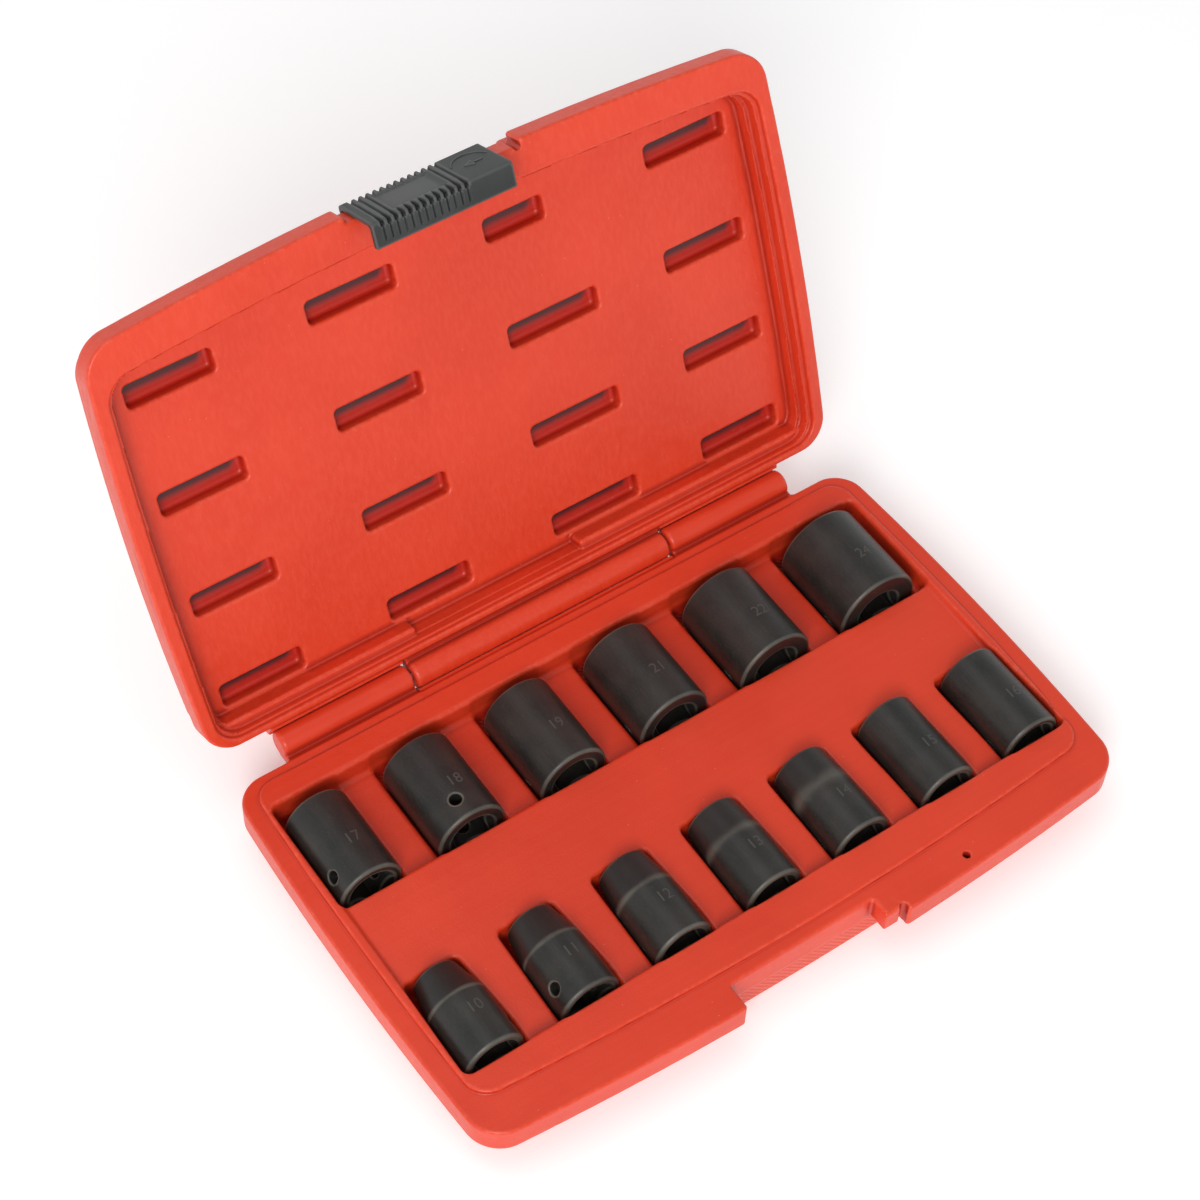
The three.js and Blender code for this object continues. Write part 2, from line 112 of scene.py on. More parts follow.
def outline(x, y, half, front, back, side_bow, front_bow, corner):
    """A case outline in plan: bowed front and sides, straight hinge edge, round corners."""
    low = front + front_bow
    side = np.abs(x) - half + side_bow * ((2 * y - low - back) / (back - low - 2 * corner)) ** 2
    fore = front + front_bow * (x / (half - side_bow - corner)) ** 2 - y
    return common(common(side, fore, corner), y - back, corner)


def block(x, y, z, xs, ys, zs, r=0.0):
    return common(common(between(x, *xs), between(y, *ys), r), between(z, *zs), r)


def bar_along_x(x, y, z, ends, radius, round_end):
    around = np.sqrt((y - HINGE_Y) ** 2 + (z - SEAM) ** 2) - radius
    return common(around, between(x, *ends), round_end)


# ---------------------------------------------------------------- sockets: sizes and places

OUTER_WIDTH = {10: 23.4, 11: 23.6, 12: 23.4, 13: 23.4, 14: 23.6, 15: 23.6, 16: 24.2,
               17: 25.0, 18: 27.6, 19: 28.0, 21: 29.6, 22: 31.2, 24: 33.8}
NOSE_WIDTH = {10: 17.4, 11: 18.6, 12: 19.8, 13: 21.0, 14: 22.0}
PIN_TURN = {11: 146.0, 17: 148.0, 18: 98.0}  # degrees about the socket's axis
USUAL_TURN = 17.0  # keeps the other sockets' pin holes beside them, inside the pocket
# how far the front row's pockets lean to the left behind their sockets
POCKET_SHIFT = {10: 1.6, 11: 2.2, 12: 1.8, 13: 2.0, 14: 2.2, 15: 2.6, 16: 2.4}


def socket_list():
    """Every socket: its size, widths, pin hole angle, and the place of its drive end."""
    found = []
    for size, wide in OUTER_WIDTH.items():
        low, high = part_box(f"socket_{size}mm")
        found.append(dict(
            size=size,
            outer=wide,
            nose=NOSE_WIDTH.get(size, wide),
            turn=math.radians(PIN_TURN.get(size, USUAL_TURN)),
            x=(low.x + high.x) / 2 / MM,
            face=low.y / MM,
        ))
    return found


SOCKETS = socket_list()

# ---------------------------------------------------------------- case base

BASE_FLANGE = 12.0  # height of the base's flange
DRAFT = 0.05  # how much the lower body narrows for each unit of depth below the flange
BORDER_RISE = 1.6  # of the raised border over the flange
BORDER_ROOT = 3.0
TROUGH_DEPTH = 7.0
TRAY_BACK = 30.0  # past the place where the sloping floor has become the plateau
PLATEAU = SEAM + 0.9
SLOPE_FOOT = SEAM - 4.4  # the sloping floor's height at its front end
SLOPE_RISE = 5.2
SLOPE_RUN = 48
SLOPE_BLEND = 3  # how softly slope and plateau meet
NEEDLE = dict(x=64.2, y=-78.2, radius=1.3, depth=5)
POCKET_ROOM = 1.0  # beside a front row socket
TROUGH_ROOM = 0.9  # beside a back row socket
POCKET_TAPER = 0.62  # share of a socket's taper that its pocket follows
POCKET_LEAN = 0.6  # share of the pocket's shift that its far end takes
POCKET_STRAIGHT = 4  # length before a pocket starts to taper
BED_TOP = 0.4  # from the sockets' axis up to where the round bed starts
TAB_LAP = 4  # how far the tab's cut reaches past the latch's gap
DETENT_INSET = 1.0
DETENT_RADIUS = 1.4
CLEAR_ABOVE = 20  # over the base, for cuts that are open at the top


def pocket(x, y, z, item):
    """A socket's pocket: a trough with a round bed and upright sides."""
    if item["size"] < 17:
        ends = FRONT_ROW
        along = ramp(y, item["face"] + POCKET_STRAIGHT, ends[1])
        narrow = (item["outer"] - item["nose"]) / 2
        half = item["outer"] / 2 + POCKET_ROOM - narrow * POCKET_TAPER * along
        middle = item["x"] - POCKET_SHIFT[item["size"]] * POCKET_LEAN * along
    else:
        ends = TROUGH
        half = item["outer"] / 2 + TROUGH_ROOM
        middle = item["x"]
    below = np.minimum(z - SOCKET_AXIS - BED_TOP, 0)
    around = np.sqrt((x - middle) ** 2 + below**2) - half
    return common(around, between(y, *ends), r=2.6)


def tray_floor(y):
    """Height of the plateau and of the slope down from it to the front row's step."""
    slope = SLOPE_FOOT + (y - FRONT_ROW[0]) * SLOPE_RISE / SLOPE_RUN
    gap = np.clip((PLATEAU - slope) / SLOPE_BLEND, -30, 30)  # safe for exp
    return PLATEAU - SLOPE_BLEND * np.log1p(np.exp(gap))


def clasp_notch(x, y, z):
    """The gap in the base's flange where the latch drops, less the tab that it grips."""
    ahead = y - CLASP["wall"]
    gap = common(between(x, CLASP["left"], CLASP["tab"]), ahead, r=1.0)
    tab = common(between(x, CLASP["tab"] - TAB_LAP, CLASP["right"]), ahead, r=0.8)
    keep = common(CLASP["tab_front"] - y, SEAM - CLASP["height"] - z, r=0.8)
    return joined(gap, cut(tab, keep, r=0.3), r=0.3)


def detent(x, y):
    """The half-round groove at the end of the tab."""
    off = x - CLASP["right"] + DETENT_INSET
    return np.sqrt(off**2 + (y - CLASP["tab_front"]) ** 2) - DETENT_RADIUS


def base_outside(x, y, z):
    """Flange, lower body and raised border."""
    flange = common(outline(x, y, **OUTLINE), z - SEAM, r=1.1)
    flange = common(flange, SEAM - BASE_FLANGE - z, r=2.0)
    draft = DRAFT * (SEAM - BASE_FLANGE - z)
    lower = common(outline(x, y, **BASE_LOWER) + draft, -z, r=3.0)
    lower = common(lower, z - SEAM + OVERLAP)
    body = joined(flange, lower, r=1.2)
    border = common(outline(x, y, **BORDER), z - SEAM - BORDER_RISE, r=1.0)
    return joined(body, common(border, SEAM - BORDER_ROOT - z), r=0.6)


def base_hinge(body, x, y, z):
    """The body with its two knuckles and the lip behind the lid's knuckle."""
    top = SEAM - WEB_DROP
    for ends in BASE_KNUCKLES:
        bar = bar_along_x(x, y, z, ends, KNUCKLE_RADIUS, KNUCKLE_ROUND)
        web = block(x, y, z, ends, (BACK_WEB, HINGE_Y), (SEAM - KNUCKLE_RADIUS, top), r=0.6)
        body = joined(body, joined(bar, web, r=0.4), r=1.6)
    ends = (LID_KNUCKLE[0] - KNUCKLE_CLEAR, LID_KNUCKLE[1] + KNUCKLE_CLEAR)
    return joined(body, cradle(x, y, z, ends, SEAM - LIP_TALL, top), r=0.5)


def base_field(x, y, z):
    body = base_hinge(base_outside(x, y, z), x, y, z)
    plan = common(between(x, -TRAY_HALF, TRAY_HALF), between(y, FRONT_ROW[0], TRAY_BACK), r=3.0)
    body = cut(body, common(plan, tray_floor(y) - z, r=1.6), r=1.3)
    heights = (SEAM - TROUGH_DEPTH, SEAM + CLEAR_ABOVE)
    body = cut(body, block(x, y, z, (-TRAY_HALF, TRAY_HALF), TROUGH, heights, r=2.2), r=1.8)
    for item in SOCKETS:
        body = cut(body, pocket(x, y, z, item), r=1.5)
    body = cut(body, clasp_notch(x, y, z), r=1.5)
    body = cut(body, detent(x, y), r=0.3)
    needle = np.sqrt((x - NEEDLE["x"]) ** 2 + (y - NEEDLE["y"]) ** 2) - NEEDLE["radius"]
    return cut(body, common(needle, SEAM - NEEDLE["depth"] - z), r=0.4)


SHADE_TOP = SEAM - 5.5  # where the pockets' painted shade starts
SHADE_REACH = 11
SHADE_MOST = 0.62
SHADE_MARGIN = 0.5
UNDERSIDE = 2  # below this height nothing belongs to a pocket


def pocket_depth(x, y, z):
    """Painted shade in the pockets: 0 at the top of the tray, and more with depth in a pocket."""
    front, back = FRONT_ROW[0] - SHADE_MARGIN, TROUGH[1] + SHADE_MARGIN
    inside = (np.abs(x) < TRAY_HALF + SHADE_MARGIN) & (y > front) & (y < back)
    depth = np.clip((SHADE_TOP - z) / SHADE_REACH, 0, 1)
    return np.where(inside & (z > UNDERSIDE), depth, 0) * SHADE_MOST


def cradle(x, y, z, ends, low, high):
    """The lip that follows the other half's knuckle, a little clear of it."""
    lip = block(x, y, z, ends, (BACK_WEB, HINGE_Y - LIP_SHORT), (low, high), r=0.5)
    from_axis = np.sqrt((y - HINGE_Y) ** 2 + (z - SEAM) ** 2)
    return cut(lip, from_axis - KNUCKLE_RADIUS - KNUCKLE_CLEAR, r=0.2)


# ---------------------------------------------------------------- case lid

LID_FLANGE = 10.4  # height of the lid's flange
LID_TALL = 20  # from the seam to the lid's outside
LID_FLOOR = SEAM + 13
RECESS_STEPS = ((0.0, 2.6), (1.5, 7.0), (3.0, 13.0))  # inset, height over the seam
FRONT_SHARE = 0.7  # share of a step's inset at the front
BACK_SHARE = 0.35
SLOT_ROWS = (-50.7, -8.0, 33.8, 72.6)
SLOT_COLUMNS = ((-121.7, -88.3), (-52.0, -17.0), (19.8, 58.0), (88.0, 122.6))
SHORT_SLOT = 44.3  # where the front row's third slot stops short
SLOT_HALF = 4.5  # half a slot's width
SLOT_DEPTH = 5.6
SLOT_SIDE = 4.2  # from a slot's middle to the side that its shade starts from
LEDGES = ((-131.0, -47.0), (25.0, 131.0))
LEDGE_Y = (78.6, 83.6)
LEDGE_Z = (SEAM + 5.6, SEAM + 14)


def slots(x, y, z):
    return common(slot_plan(x, y), z - LID_FLOOR - SLOT_DEPTH, r=1.6)


def slot_plan(x, y):
    """The sixteen slots of the lid: four rows, with one short slot at the front."""
    found = None
    for row, middle in enumerate(SLOT_ROWS):
        for column, (left, right) in enumerate(SLOT_COLUMNS):
            right = SHORT_SLOT if (row, column) == (0, 2) else right
            across = between(y, middle - SLOT_HALF, middle + SLOT_HALF)
            plan = common(between(x, left, right), across, r=2.0)
            found = plan if found is None else np.minimum(found, plan)
    return found


def slot_depth(x, y, z):
    """Painted shade in the slots: 0 on the lid's panel and up to 1 on a slot's floor, most on the
    side towards the latch and less near a slot's right end.
    """
    inside = (slot_plan(x, y) < 1.5) & (z < LID_FLOOR + SLOT_DEPTH + 0.4)
    depth = np.clip((z - LID_FLOOR) / SLOT_DEPTH, 0, 1)
    # painted shadow: darkest on the side towards the latch
    across = np.min([np.abs(y - row + SLOT_SIDE) for row in SLOT_ROWS], axis=0)
    depth = depth * (1.05 - 0.8 * ramp(across, 1.5, 2 * SLOT_SIDE))
    # less painted shade near a slot's right end
    to_end = np.min([np.abs(x - right) for _, right in SLOT_COLUMNS], axis=0)
    first_row = y < SLOT_ROWS[0] + 6
    to_end = np.where(first_row, np.minimum(to_end, np.abs(x - SHORT_SLOT)), to_end)
    return np.where(inside, depth * (0.45 + 0.55 * ramp(to_end, 0.3, 5)), 0)


def lid_recess(x, y, z):
    """The stepped inside of the lid."""
    deep = None
    for inset, height in RECESS_STEPS:
        mouth = dict(LID_MOUTH, half=LID_MOUTH["half"] - inset)
        mouth["front"] += inset * FRONT_SHARE
        mouth["back"] -= inset * BACK_SHARE
        level = common(outline(x, y, **mouth), z - SEAM - height, r=0.8)
        deep = level if deep is None else np.minimum(deep, level)
    return deep


def lid_run(x, y, z):
    """What is cut from the lid's front edge for the latch."""
    ends = between(x, CLASP["left"], CLASP["right"])
    ahead = y - CLASP["tab_front"]
    above = common(y - CLASP["wall"], SEAM + CLASP["height"] - z, r=0.8)
    return common(ends, joined(ahead, above, r=0.6), r=1.0)


def lid_outside(x, y, z):
    """Flange and upper body."""
    flange = common(outline(x, y, **OUTLINE), SEAM + LID_GAP - z, r=1.1)
    flange = common(flange, z - SEAM - LID_FLANGE, r=1.8)
    upper = common(outline(x, y, **LID_UPPER), z - SEAM - LID_TALL, r=3.6)
    return joined(flange, common(upper, SEAM + OVERLAP - z), r=1.2)


def lid_hinge(body, x, y, z):
    """The body with its long knuckle and the lips behind the base's knuckles."""
    low = SEAM + LID_GAP + WEB_DROP
    bar = bar_along_x(x, y, z, LID_KNUCKLE, KNUCKLE_RADIUS, KNUCKLE_ROUND)
    web = block(x, y, z, LID_KNUCKLE, (BACK_WEB, HINGE_Y), (low, SEAM + KNUCKLE_RADIUS), r=0.6)
    body = joined(body, joined(bar, web, r=0.4), r=1.2)
    for left, right in BASE_KNUCKLES:
        ends = (left - KNUCKLE_CLEAR, right + KNUCKLE_CLEAR)
        body = joined(body, cradle(x, y, z, ends, low, SEAM + LIP_TALL), r=0.5)
    return body


def lid_field(x, y, z):
    body = lid_hinge(lid_outside(x, y, z), x, y, z)
    body = cut(body, lid_recess(x, y, z), r=1.0)
    for ends in LEDGES:
        body = joined(body, block(x, y, z, ends, LEDGE_Y, LEDGE_Z, r=1.4), r=0.8)
    body = cut(body, slots(x, y, z), r=1.3)
    body = cut(body, lid_run(x, y, z), r=1.3)
    return cut(body, detent(x, y), r=0.3)


# ---------------------------------------------------------------- latch

LATCH = dict(left=-31.6, right=24.0, front=-84.3, tip=-74.7, low=9.8, high=11.8)
RIB_PITCH = 2.75
RIBS = 12
WHOLE_LEFT = 2  # the grooves up to this one, and the last two, run right across
PAD_LEFT = 5.6
PAD_MIDDLE = 14.8
WEDGE = (5.6, 10.2)  # from the latch's middle: where the wedges start, and where they are widest
LEG_EDGE = (9.0, 10.5)  # from the latch's middle to where its legs' own grooves show
LEG_GROOVE = dict(half=0.42, depth=0.5)
DISH_HALF = 8.6
DISH_DEPTH = 0.45
ARC_RADIUS = 7.2
ARC_HALF = 0.26
MARK_RISE = 0.25
WALL = 1.6  # the latch's front wall
LATCH_LIP = dict(width=1.4, height=1.1)


def latch_grooves(x, y, v):
    """How far the grip's V grooves sink: right across near its ends, wedges at the edges between."""
    first = PAD_LEFT - RIBS * RIB_PITCH
    place = (x - first) / RIB_PITCH
    nearest = np.round(place)
    off = np.abs(place - nearest) * RIB_PITCH
    present = (nearest >= 0) & (nearest <= RIBS)
    whole = (nearest <= WHOLE_LEFT) | (nearest >= RIBS - 1)
    wedge = ramp(np.abs(v), *WEDGE)
    on_top = ramp(-y, -LATCH["front"] - 2.6, -LATCH["front"] - 1.6)
    half = np.where(whole, 0.72 + 0.3 * wedge, 0.12 + 0.95 * wedge)
    deep = np.where(whole, 0.75 + 0.5 * wedge, 1.3 * wedge)
    top = deep * np.clip(1 - off / half, 0, 1) * on_top
    on_leg = ramp(-y, -LATCH["tip"] + 1.8, -LATCH["tip"] + 2.3) * ramp(np.abs(v), *LEG_EDGE)
    leg = LEG_GROOVE["depth"] * np.clip(1 - off / LEG_GROOVE["half"], 0, 1) * on_leg
    return np.maximum(top, leg) * present


# painted shade for the latch's grooves: how deep they are at each place
def groove_depth(x, y, z):
    return latch_grooves(x, y, z - SEAM)


def latch_dish(x, v):
    """The shallow thumb hollow between the whole ribs."""
    along = between(x, PAD_LEFT - 10 * RIB_PITCH, PAD_LEFT - 1.4 * RIB_PITCH)
    return DISH_DEPTH * ramp(-common(along, np.abs(v) - DISH_HALF, r=2), 0, 3)


def latch_arrow(x, v):
    """A raised arc over a plain triangle that points the way the latch opens."""
    radius = np.sqrt((x - PAD_MIDDLE) ** 2 + v**2)
    arc = common(np.abs(radius - ARC_RADIUS) - ARC_HALF, 1.6 - v)
    low = v + 0.8
    point = np.maximum(np.abs(low) * 0.86 + (PAD_MIDDLE - 3.6 - x) * 0.5, x - PAD_MIDDLE - 0.2)
    stem = np.maximum(np.abs(low) - 0.5, between(x, PAD_MIDDLE, PAD_MIDDLE + 3.8))
    return np.minimum(np.minimum(arc, point), stem)


def latch_field(x, y, z):
    v = z - SEAM
    high, low = LATCH["high"], LATCH["low"]
    outside = common(LATCH["front"] - y, np.abs(v) - high, r=1.3)
    outside = common(outside, y - LATCH["tip"], r=0.5)
    outside = common(outside, between(x, LATCH["left"], LATCH["right"]), r=0.5)
    outside = outside + latch_grooves(x, y, v)
    outside = outside + latch_dish(x, v) * ramp(-y, -LATCH["front"] - 1, -LATCH["front"] - 0.5)
    mark = common(latch_arrow(x, v), np.abs(y - LATCH["front"]) - MARK_RISE)
    body = np.minimum(outside, mark)
    inner = LATCH["front"] + WALL
    channel = common(inner - y, np.abs(v) - low, r=0.8)
    ends = (LATCH["left"], LATCH["right"])
    depths = (LATCH["tip"] - LATCH_LIP["width"], LATCH["tip"])
    lip = block(x, y, v, ends, depths, (low - LATCH_LIP["height"], low + 1), r=0.2)
    return np.minimum(cut(body, channel, r=0.3), lip)


# ---------------------------------------------------------------- one socket

NOSE_LENGTH = 14.5
TAPER_LENGTH = 13.0
FLAT_ROOM = 0.1  # between a hexagon's flat and a bolt of its size
DRIVE_HALF = 6.45  # half of the square drive hole
DRIVE_DEPTH = 16.0
BORE_LAP = 0.1  # how far the square and the hexagon reach past each other
MOUTH = dict(radius=9.5, slope=1.25, scale=1.6)  # the square's bevel; scale is its slant length
LEAD = dict(radius=1.19, slope=1.1, scale=1.5)  # the hexagon's bevel; radius is in flats
PIN_PLACE = 8.3  # from the drive end
PIN_RADIUS = 2.3


def polygon_prism(x, z, sides, flat, r):
    """Distance to a regular prism along Y whose flats are the given distance from the axis."""
    found = None
    for k in range(sides // 2):
        angle = math.pi * 2 * k / sides
        across = np.abs(x * math.cos(angle) + z * math.sin(angle)) - flat
        found = across if found is None else common(found, across, r)
    return found


def socket_field_of(item):
    radius = item["outer"] / 2
    nose = item["nose"] / 2
    flat = item["size"] / 2 + FLAT_ROOM

    def field(x, y, z):
        around = np.sqrt(x * x + z * z)
        shell = around - radius
        if nose < radius:
            shoulder = SOCKET_LENGTH - NOSE_LENGTH
            slope = (radius - nose) / TAPER_LENGTH
            cone = around - radius + slope * (y - shoulder)
            shell = common(shell, cone, r=0.06)
        body = common(shell, -y, r=1.3)
        body = common(body, y - SOCKET_LENGTH, r=1.2)
        square = polygon_prism(x, z, 4, DRIVE_HALF, r=0.5)
        mouth = (around + MOUTH["slope"] * y - MOUTH["radius"]) / MOUTH["scale"]
        drive = common(joined(square, mouth, r=0.5), y - DRIVE_DEPTH)
        hexagon = polygon_prism(x, z, 6, flat, r=0.3)
        lead = around - LEAD["slope"] * (y - SOCKET_LENGTH) - flat * LEAD["radius"]
        lead = lead / LEAD["scale"]
        hexagon = common(joined(hexagon, lead, r=0.3), DRIVE_DEPTH - BORE_LAP - y)
        body = cut(cut(body, drive, r=0.35), hexagon, r=0.35)
        pin = np.sqrt(z * z + (y - PIN_PLACE) ** 2) - PIN_RADIUS
        return cut(body, pin, r=0.35)

    return field


def nose_of(item):
    """1 on the tapered nose of a small socket, and 0 elsewhere."""
    tapers = item["nose"] < item["outer"]
    start = SOCKET_LENGTH - NOSE_LENGTH if tapers else 2 * SOCKET_LENGTH

    def on_nose(x, y, z):
        return ramp(y, start - 0.1, start + 0.4)

    return on_nose


# ---------------------------------------------------------------- from distances to meshes

EDGE_REACH = 0.9  # how far from an edge its wear, painted highlight and painted shade show
OPEN_REACH = 7.0  # depth at which a recess counts as closed in
MARGIN = 1.6  # empty grid cells below a piece; above it there is one more
KEEP_BUSY = 0.8  # share of the faces kept on rims, corners and pockets
KEEP_PLAIN = 0.03  # and on plain faces
PLAIN_OPEN = 0.97
PLAIN_EDGE = 0.02
PLAIN_ONLY = 1000  # weight that holds the thinning to the plain group


def surface_net(field, low, high, pitch):
    """Points and quads of the surface where the field is zero, on a grid of that pitch."""
    axes = [np.arange(a - MARGIN * pitch, b + (MARGIN + 1) * pitch, pitch) for a, b in zip(low, high)]
    grid = np.ix_(*axes)
    values = np.broadcast_to(field(*grid), [len(a) for a in axes]).astype(np.float32)
    inside = values < 0
    count = np.zeros([n - 1 for n in values.shape], np.int8)
    corners = [(i, j, k) for i in (0, 1) for j in (0, 1) for k in (0, 1)]
    nx, ny, nz = count.shape
    for i, j, k in corners:
        count += inside[i:i + nx, j:j + ny, k:k + nz]
    cells = np.argwhere((count > 0) & (count < 8))
    index = np.full(count.shape, -1, np.int32)
    index[tuple(cells.T)] = np.arange(len(cells))
    total = np.zeros((len(cells), 3))
    hits = np.zeros(len(cells))
    for corner in corners:
        for axis in range(3):
            if corner[axis]:
                continue
            start = cells + corner
            unit = np.eye(3, dtype=int)[axis]
            a = values[tuple(start.T)]
            b = values[tuple((start + unit).T)]
            crossing = (a < 0) != (b < 0)
            share = np.where(crossing, a / np.where(crossing, a - b, 1), 0)
            place = np.array(corner) + share[:, None] * unit
            total += np.where(crossing[:, None], place, 0)
            hits += crossing
    origin = np.array([a[0] for a in axes])
    points = origin + (cells + total / hits[:, None]) * pitch
    quads = []
    for axis in range(3):
        one = np.eye(3, dtype=int)[axis]
        u = np.eye(3, dtype=int)[(axis + 1) % 3]
        v = np.eye(3, dtype=int)[(axis + 2) % 3]
        size = np.array(values.shape)
        top = size - one
        a = inside[:top[0], :top[1], :top[2]]
        b = inside[one[0]:, one[1]:, one[2]:]
        edges = np.argwhere(a != b)
        edges = edges[((edges > 0) | (one == 1)).all(1) & (edges < size - 1).all(1)]
        ring = [index[tuple((edges - s).T)] for s in (0 * u, u, u + v, v)]
        ring = np.stack(ring, 1)
        leaving = a[tuple(edges.T)]
        quads.append(np.where(leaving[:, None], ring, ring[:, ::-1]))
    return points, np.concatenate(quads)


def slope_of(field, points, step=0.05):
    """The field's gradient at points, and its value."""
    gradient = np.empty_like(points)
    for axis in range(3):
        ahead = points.copy()
        behind = points.copy()
        ahead[:, axis] += step
        behind[:, axis] -= step
        gradient[:, axis] = field(*ahead.T) - field(*behind.T)
    return gradient / (2 * step), field(*points.T)


def settle(field, points, reach, rounds=3):
    """Moves points onto the surface exactly, no further than reach in a round."""
    for _ in range(rounds):
        gradient, value = slope_of(field, points)
        scale = value / np.maximum((gradient**2).sum(1), 0.05)
        points = points - gradient * np.clip(scale, -reach, reach)[:, None]
    return points


def edge_amount(field, points, step):
    """Above zero on outside edges and below zero in inside corners."""
    total = -6 * field(*points.T)
    for axis in range(3):
        for sign in (-step, step):
            moved = points.copy()
            moved[:, axis] += sign
            total = total + field(*moved.T)
    return np.clip(total / step, -1, 1)


def openness(field, points, normals, reach):
    """How open the space over each place is: 1 on a free face, near 0 deep in a pocket."""
    found = 0
    for share in (0.4, 1.0):
        height = reach * share
        found = found + np.clip(field(*(points + normals * height).T) / height, 0, 1) / 2
    return found


def make_piece(name, field, low, high, pitch, recess_shade_and_nose):
    """A mesh object of the field, thinned where it is plain, with exact normals.

    The last argument gives the materials one more number: depth in a recess or groove, painted there
    as shade, or 1 on a nose.
    """
    pitch = pitch * 1
    points, quads = surface_net(field, low, high, pitch)
    points = settle(field, points, pitch * 0.5)
    mesh = bpy.data.meshes.new(name)
    mesh.vertices.add(len(points))
    mesh.vertices.foreach_set("co", points.astype(np.float32).ravel())
    mesh.loops.add(quads.size)
    mesh.loops.foreach_set("vertex_index", quads.astype(np.int32).ravel())
    mesh.polygons.add(len(quads))
    mesh.polygons.foreach_set("loop_start", np.arange(0, quads.size, 4, dtype=np.int32))
    mesh.update(calc_edges=True)
    mesh.validate()
    piece = bpy.data.objects.new(name, mesh)
    bpy.context.scene.collection.objects.link(piece)
    thin(piece, field, points)
    points = finish_surface(piece.data, field, pitch)
    store(piece.data, "recess_shade_and_nose", recess_shade_and_nose(*points.T))
    piece.data.transform(Matrix.Scale(MM, 4))
    return piece


def unit_normals(field, points):
    gradient, _ = slope_of(field, points)
    return gradient / np.maximum(np.linalg.norm(gradient, axis=1, keepdims=True), 1e-6)


def thin(piece, field, points):
    """Collapses edges on plain faces and leaves rims, corners and pockets as fine as they are."""
    normals = unit_normals(field, points)
    plain = openness(field, points, normals, OPEN_REACH) > PLAIN_OPEN
    plain &= np.abs(edge_amount(field, points, EDGE_REACH)) < PLAIN_EDGE
    group = piece.vertex_groups.new(name="plain")
    group.add(np.flatnonzero(plain).tolist(), 1.0, "REPLACE")
    modifier = piece.modifiers.new("thin", "DECIMATE")
    modifier.vertex_group = group.name
    modifier.vertex_group_factor = PLAIN_ONLY
    busy = 1 - plain.mean()
    modifier.ratio = busy * KEEP_BUSY + (1 - busy) * KEEP_PLAIN
    graph = bpy.context.evaluated_depsgraph_get()
    lighter = bpy.data.meshes.new_from_object(piece.evaluated_get(graph))
    piece.modifiers.clear()
    piece.vertex_groups.clear()
    piece.data = lighter
    lighter.name = piece.name


def finish_surface(mesh, field, pitch):
    """Settles the vertices again, then stores normals and how edge-like each place is."""
    points = np.empty(len(mesh.vertices) * 3, np.float32)
    mesh.vertices.foreach_get("co", points)
    points = settle(field, points.reshape(-1, 3).astype(float), pitch * 0.3, 2)
    mesh.vertices.foreach_set("co", points.astype(np.float32).ravel())
    mesh.shade_smooth()
    normals = unit_normals(field, points)
    mesh.normals_split_custom_set_from_vertices(normals.tolist())
    store(mesh, "edge", edge_amount(field, points, EDGE_REACH))
    store(mesh, "open", openness(field, points, normals, OPEN_REACH))
    return points


def store(mesh, name, values):
    """Keeps one number for each vertex, for the materials to read."""
    attribute = mesh.attributes.new(name, "FLOAT", "POINT")
    attribute.data.foreach_set("value", values.astype(np.float32))


# ---------------------------------------------------------------- materials

RED = dict(
    deep=(0.640, 0.038, 0.010, 1),
    bright=(0.700, 0.048, 0.015, 1),
    streak=(0.78, 0.095, 0.045, 1),
    # paler edge colour: partly wear, partly painted highlight
    scuff_and_highlight=(0.86, 0.24, 0.15, 1),
    # painted shade for inside corners and creases
    corner=(0.30, 0.012, 0.008, 1),
    # painted shade where little open space lies over a place
    closed_in_shade=(0.20, 0.006, 0.005, 1),
    # painted shade in pockets and slots, with the darkest shade for slot floors
    recess_shade_and_nose=(0.46, 0.009, 0.005, 1),
    deepest_shade=(0.035, 0.008, 0.011, 1),
    speck=(0.85, 0.25, 0.18, 1),
    rib=(0.9, 0.2, 0.12, 1),
)
OXIDE = dict(
    dark=(0.009, 0.0105, 0.0095, 1),
    brown=(0.020, 0.0185, 0.015, 1),
    fleck=(0.050, 0.047, 0.040, 1),
    grain=(0.040, 0.038, 0.032, 1),
    nose=(0.007, 0.007, 0.006, 1),
    # edge colour: partly wear, partly painted highlight
    rubbed_and_highlight=(0.17, 0.16, 0.13, 1),
)
GREY = dict(
    dark=(0.014, 0.017, 0.016, 1),
    light=(0.025, 0.029, 0.028, 1),
    # painted highlight for outside edges
    edge=(0.15, 0.155, 0.15, 1),
    # painted shade for inside corners
    corner=(0.012, 0.013, 0.013, 1),
    # painted shade for the grooves
    groove=(0.003, 0.003, 0.003, 1),
)
RIB_TOP = (0.0115, 0.0105)  # metres up, where the lower wall's ribs fade out
RIB_SCALE = 278.0


